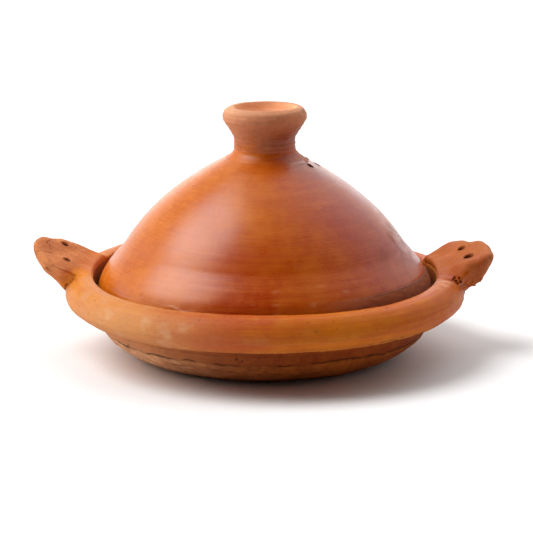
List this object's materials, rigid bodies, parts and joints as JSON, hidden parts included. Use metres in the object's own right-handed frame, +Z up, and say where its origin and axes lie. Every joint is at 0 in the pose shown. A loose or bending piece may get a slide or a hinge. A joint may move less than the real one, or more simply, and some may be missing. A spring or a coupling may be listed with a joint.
{
  "type": "tagine pot",
  "caption": "Earthenware tagine: shallow dish with a rolled rim and two pierced lugs, under a tall domed lid with a hollow knob and steam vents. The lid lifts off.",
  "frame": {"origin": "centre of the dish's flat foot, on the surface it stands on", "axes": "+Z up along the dish's and the lid's axis, +X towards the right lug, +Y towards the back"},
  "size_m": [0.3208, 0.2806, 0.175],
  "materials": {
    "burnished_clay": "unglazed terracotta, burnished to a soft sheen",
    "dish_clay": "unglazed terracotta, wiped and matte",
    "raw_clay": "unglazed terracotta, hand-modelled and left rough"
  },
  "bodies": {
    "dish": {"dish_bowl": "dish_clay", "rim_roll": "burnished_clay", "left_handle": "raw_clay", "right_handle": "raw_clay"},
    "lid": {"lid_cone": "burnished_clay", "neck_luting": "raw_clay", "lid_knob": "raw_clay"}
  },
  "joints": [
    {"name": "lid_lift", "type": "slide", "parent": "dish", "child": "lid", "axis": [0, 0, 1], "range_m": [0, 0.15]}
  ]
}
